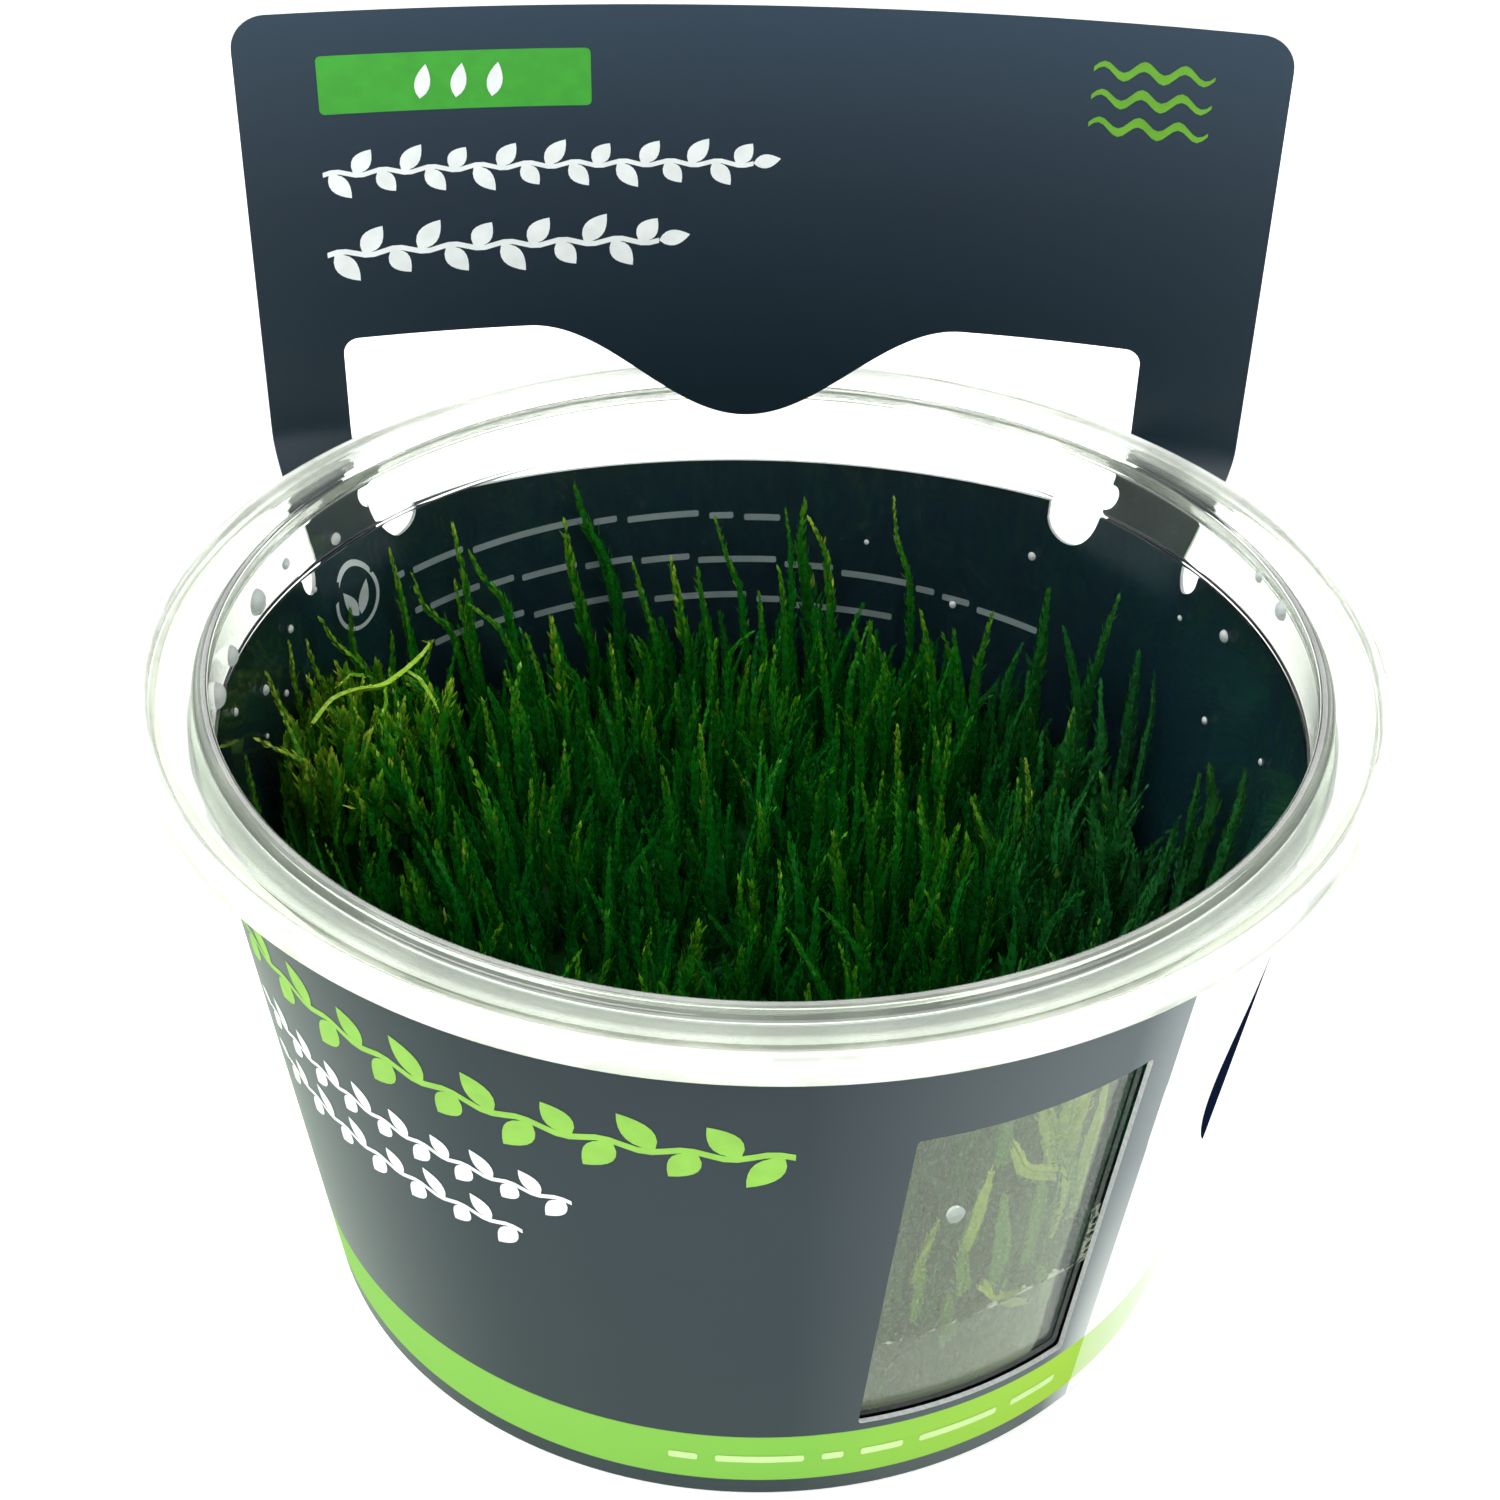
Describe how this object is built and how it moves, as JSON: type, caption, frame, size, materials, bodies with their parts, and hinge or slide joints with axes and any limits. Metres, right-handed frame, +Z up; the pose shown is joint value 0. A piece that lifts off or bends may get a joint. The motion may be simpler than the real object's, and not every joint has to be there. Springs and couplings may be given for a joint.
{
  "type": "potted aquarium moss",
  "caption": "Spiky aquarium moss growing from nutrient gel in a clear round culture cup, wrapped in a dark printed card sleeve with a tall header card.",
  "frame": {"origin": "centre of the cup's flat base, on the surface it stands on", "axes": "+Z up along the cup's axis; the header card stands on the +Y side and its printed front faces -Y; +X is to the right seen from the front"},
  "size_m": [0.101, 0.101, 0.0967],
  "materials": {
    "clear_plastic": "injection-moulded clear polystyrene, glossy",
    "printed_card": "coated board printed dark slate with a green band, satin",
    "agar_gel": "cloudy set agar gel, wet",
    "moss_green": "living moss, moist, matt"
  },
  "bodies": {
    "root": {"cup": "clear_plastic", "card_sleeve": "printed_card", "nutrient_gel": "agar_gel", "moss": "moss_green"}
  },
  "joints": []
}
